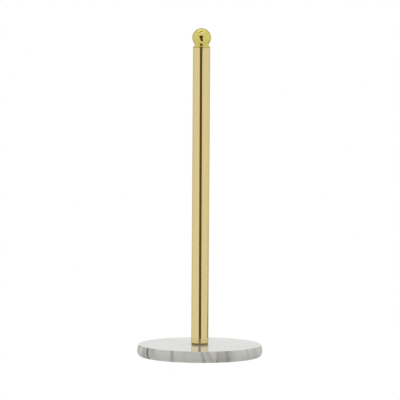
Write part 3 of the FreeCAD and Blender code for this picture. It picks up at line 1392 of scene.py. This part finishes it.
@dataclass
class Studio:
    """A white tent with a slit for the camera, a plain pale floor and the camera itself, in metres."""

    wall: float = 0.78  # brightness against 1 for white, as zenith, under, shade, flank and back are
    zenith: float = 1.02
    under: float = 0.72
    shade: float = 0.51  # the floor's, close to the base
    flank: float = 0.64  # the wall's, to both sides of the back
    back: float = 0.85
    zenith_span: Span = (0.76, 0.98)  # how much of a direction is up where the ceiling begins and is full
    under_span: Span = (-0.02, -0.55)
    flank_span: Span = (0.50, 0.74)  # how much of a direction is away from the camera
    back_span: Span = (0.90, 0.98)
    shade_radius: float = 0.07
    clear_radius: float = 0.17
    floor_radius: float = 3.0
    floor_sides: int = 96
    light_floor_height: float = -0.0002

    camera_distance: float = 2.5
    camera_height: float = 0.3127
    camera_side: float = -0.00074
    camera_pitch: float = 3.195  # degrees downwards
    camera_roll: float = 0.355  # degrees
    camera_reach: float = 50.0
    focal_length: float = 205.05  # millimetres
    sensor: float = 36.0  # millimetres

    slit_distance: float = 0.68
    slit_glow: Colour = (0.072, 0.040, 0.002, 1.0)
    slit_edges: tuple[Point, ...] = (
        (-0.30, -0.13, 0.30),
        (-0.05, -0.183, 0.207),
        (0.34, -0.28, 0.11),
        (0.36, -0.31, 0.19),
        (0.48, -0.38, 0.23),
        (0.60, -0.42, 0.22),
        (0.68, -0.36, 0.14),
    )  # height, left edge and right edge
    seam: tuple[Point, ...] = (
        (-0.50, -0.42, 1.25),
        (0.20, -0.14, 1.25),
        (0.20, 0.06, 1.25),
        (-0.50, -0.14, 1.25),
    )
    seam_glow: Colour = (0.26, 0.25, 0.22, 1.0)
    lamp: tuple[Point, ...] = (
        (-0.56, 0.02, 1.26),
        (-0.24, 0.00, 1.26),
        (-0.24, 0.32, 1.26),
        (-0.56, 0.34, 1.26),
    )
    lamp_glow: Colour = (1.25, 1.27, 1.40, 1.0)
    gap_near: Span = (0.65, 0.25)  # X and Y of the gap's nearer side
    gap_far: Span = (0.53, 0.46)
    gap_tint: Point = (1.0, 0.95, 0.85)
    gap_bands: tuple[Point, ...] = (
        (-0.09, -0.025, 0.22),
        (-0.025, 0.0, 0.38),
        (0.0, 0.02, 0.52),
        (0.02, 0.10, 0.62),
    )  # lower height, upper height and brightness

    def build_world(self) -> None:
        """Builds the even white light: pale walls, a brighter ceiling and back, and white for the camera."""
        world = bpy.data.worlds.new("white_tent")
        world.use_nodes = True
        kit = NodeKit(world.node_tree)
        kit.tree.nodes.clear()
        _, away, up = kit.split(kit.node("ShaderNodeTexCoord").outputs["Generated"])
        level = self.wall
        for part, span, change in (
            (up, self.zenith_span, self.zenith - self.wall),
            (up, self.under_span, self.under - self.wall),
            (away, self.flank_span, self.flank - self.wall),
            (away, self.back_span, self.back - self.flank),
        ):
            level = kit.math("ADD", level, kit.between(part, span, (0.0, change)))
        tent = kit.node("ShaderNodeBackground", {"Color": WHITE, "Strength": level}).outputs[0]
        backdrop = kit.node("ShaderNodeBackground", {"Color": WHITE}).outputs[0]
        looking = kit.node("ShaderNodeLightPath").outputs["Is Camera Ray"]
        mix = kit.node("ShaderNodeMixShader", {0: looking, 1: tent, 2: backdrop})
        kit.node("ShaderNodeOutputWorld", {"Surface": mix.outputs[0]})
        bpy.context.scene.world = world

    def build_cards(self) -> None:
        """Builds the camera's slit, the seam and lamp overhead, and the gap at the side."""
        left = [(edge[1], -self.slit_distance, edge[0]) for edge in self.slit_edges]
        right = [(edge[2], -self.slit_distance, edge[0]) for edge in self.slit_edges]
        Card("tent_slit", tuple(left + right[::-1]), self.slit_glow).build()
        Card("tent_seam", self.seam, self.seam_glow).build()
        Card("tent_lamp", self.lamp, self.lamp_glow).build()
        near, far = self.gap_near, self.gap_far
        for low, high, glow in self.gap_bands:
            corners = ((*near, low), (*far, low), (*far, high), (*near, high))
            tint = tuple(glow * share for share in self.gap_tint)
            Card(f"tent_gap_{glow:.1f}", corners, (*tint, 1.0)).build()

    def build_floor(self, name: str, radius: float, height: float, seen: bool) -> None:
        """Builds a round floor.

        Args:
            name: name of the floor.
            radius: its radius.
            height: its height.
            seen: True for the one that the camera sees, False for the one that only lights the holder.
        """
        angles = [math.tau * k / self.floor_sides for k in range(self.floor_sides)]
        corners = [(radius * math.cos(angle), radius * math.sin(angle), height) for angle in angles]
        floor = panel(name, corners, self.floor_finish(name, seen))
        floor.visible_camera = seen
        floor.visible_diffuse = not seen
        floor.visible_glossy = not seen
        floor.visible_transmission = False

    def floor_finish(self, name: str, seen: bool) -> Material:
        """Builds the finish of one floor, which shows from above only.

        Args:
            name: name of the material.
            seen: True for the even white that the camera sees, False for the one that dims near the base.

        Returns:
            The material.
        """
        glow = Glow(name, WHITE)
        light = glow.lamp.outputs[0]
        if not seen:
            point = glow.node("ShaderNodeTexCoord").outputs["Object"]
            distance = glow.node("ShaderNodeVectorMath", {0: point}, operation="LENGTH").outputs["Value"]
            radii = (self.shade_radius, self.clear_radius)
            glow.plug(glow.lamp.inputs["Strength"], glow.between(distance, radii, (self.shade, self.under)))
        below = glow.node("ShaderNodeNewGeometry").outputs["Backfacing"]
        clear = glow.node("ShaderNodeBsdfTransparent").outputs[0]
        side = glow.node("ShaderNodeMixShader", {0: below, 1: light, 2: clear})
        glow.plug(glow.out.inputs["Surface"], side.outputs[0])
        return glow.material

    def build_camera(self) -> None:
        """Builds the camera, at the height and distance from which the holder is seen nearly level."""
        data = bpy.data.cameras.new("camera")
        data.sensor_width = self.sensor
        data.lens = self.focal_length
        data.clip_end = self.camera_reach
        camera = placed("camera", data)
        pitch = Matrix.Rotation(math.radians(UP - self.camera_pitch), 4, "X")
        roll = Matrix.Rotation(math.radians(self.camera_roll), 4, "Z")
        place = Matrix.Translation((self.camera_side, -self.camera_distance, self.camera_height))
        camera.matrix_world = place @ pitch @ roll
        bpy.context.scene.camera = camera

    def build(self) -> None:
        """Builds the light, the cards, the two floors and the camera."""
        self.build_world()
        self.build_cards()
        self.build_floor("floor", self.floor_radius, 0.0, True)
        self.build_floor("floor_light", self.clear_radius, self.light_floor_height, False)
        self.build_camera()
        bpy.context.scene.view_settings.view_transform = "Standard"
        bpy.context.scene.view_settings.look = "None"
        log.info("studio: camera %.2f m away", self.camera_distance)


def main() -> None:
    """Builds the studio and every piece of the holder."""
    logging.basicConfig(level=logging.INFO, format="%(name)s: %(message)s")
    Studio().build()
    marble = MarbleFinish().build()
    plate, brass, zinc, steel = (finish.build() for finish in (POST_PLATE, FINIAL_BRASS, ZINC, PLUG_STEEL))
    gasket, nylon, bumper = (finish.build() for finish in (GASKET_SEAM_SHADE, NYLON, BUMPER))
    Base().dress(marble, bumper)
    Post().dress(plate, steel, gasket)
    Fixings().dress(zinc)
    Finial().dress(brass, zinc, nylon)


if __name__ == "__main__":
    main()
